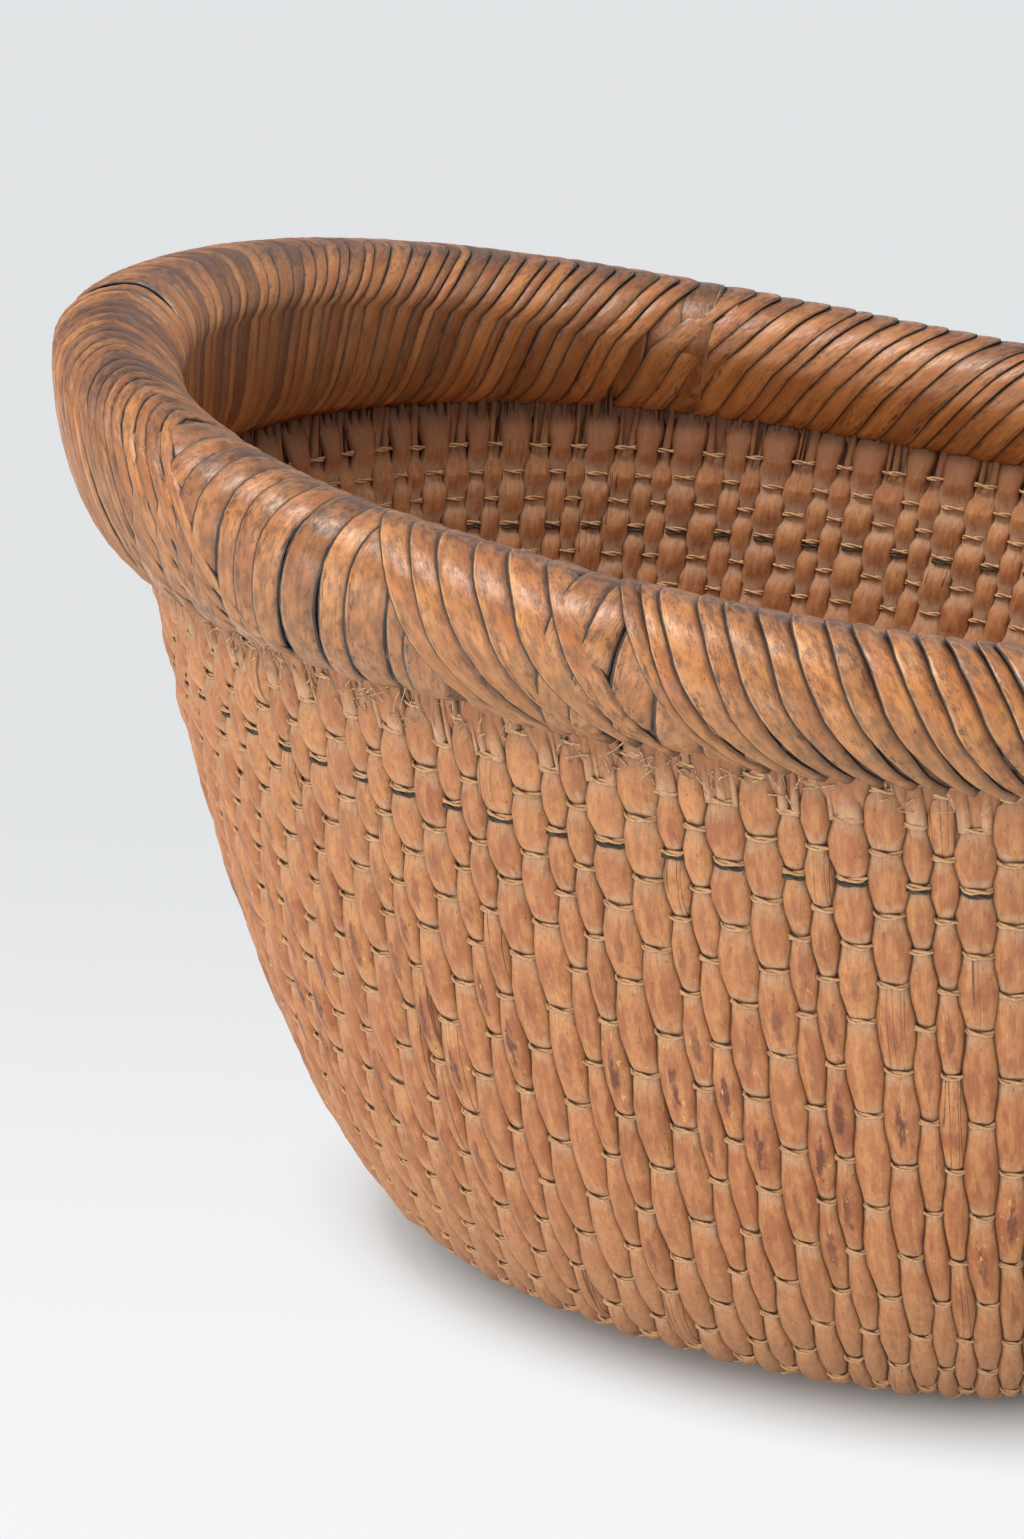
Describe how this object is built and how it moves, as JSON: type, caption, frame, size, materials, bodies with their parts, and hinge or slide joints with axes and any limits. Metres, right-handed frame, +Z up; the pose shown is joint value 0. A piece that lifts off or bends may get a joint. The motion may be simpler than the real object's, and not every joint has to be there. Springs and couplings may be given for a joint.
{
  "type": "willow basket",
  "caption": "Deep oval basket with bowed sides of upright willow rods tied by cord rows, a small flat oval bottom and a thick overhanging rim wound with flat splints.",
  "frame": {"origin": "on the floor, under the middle of the basket's bounding box", "axes": "+X along the basket's length towards the lower end of the rim, +Y across it, +Z up"},
  "size_m": [0.3826, 0.3096, 0.2349],
  "materials": {
    "willow_rods": "matt, aged peeled willow",
    "base_rods": "matt, aged peeled willow",
    "rim_bundle": "matt",
    "splints": "satin, worn flat splints",
    "hemp_cord": "matt",
    "dark_cord": "matt"
  },
  "bodies": {
    "root": {"base_rods_1": "base_rods", "base_rods_2": "base_rods", "base_rods_3": "base_rods", "base_rods_4": "base_rods", "base_rods_5": "base_rods", "wall_rods_01": "willow_rods", "wall_rods_02": "willow_rods", "wall_rods_03": "willow_rods", "wall_rods_04": "willow_rods", "wall_rods_05": "willow_rods", "wall_rods_06": "willow_rods", "wall_rods_07": "willow_rods", "wall_rods_08": "willow_rods", "wall_rods_09": "willow_rods", "wall_rods_10": "willow_rods", "wall_rods_11": "willow_rods", "wall_rods_12": "willow_rods", "wall_rods_13": "willow_rods", "wall_rods_14": "willow_rods", "wall_rods_15": "willow_rods", "wall_rods_16": "willow_rods", "wall_rods_17": "willow_rods", "wall_rods_18": "willow_rods", "wall_rods_19": "willow_rods", "cord_row_dark": "dark_cord", "cord_row_2": "hemp_cord", "cord_row_3": "hemp_cord", "cord_row_4": "hemp_cord", "cord_row_5": "hemp_cord", "rim_core_1": "rim_bundle", "rim_core_2": "rim_bundle", "rim_core_3": "rim_bundle", "rim_core_4": "rim_bundle", "rim_core_5": "rim_bundle", "rim_core_6": "rim_bundle", "rim_core_7": "rim_bundle", "rim_core_8": "rim_bundle", "rim_wrap_1": "splints", "rim_wrap_2": "splints", "rim_wrap_3": "splints", "rim_wrap_4": "splints", "rim_wrap_5": "splints", "rim_wrap_6": "splints", "rim_wrap_7": "splints", "rim_wrap_8": "splints"}
  },
  "joints": []
}
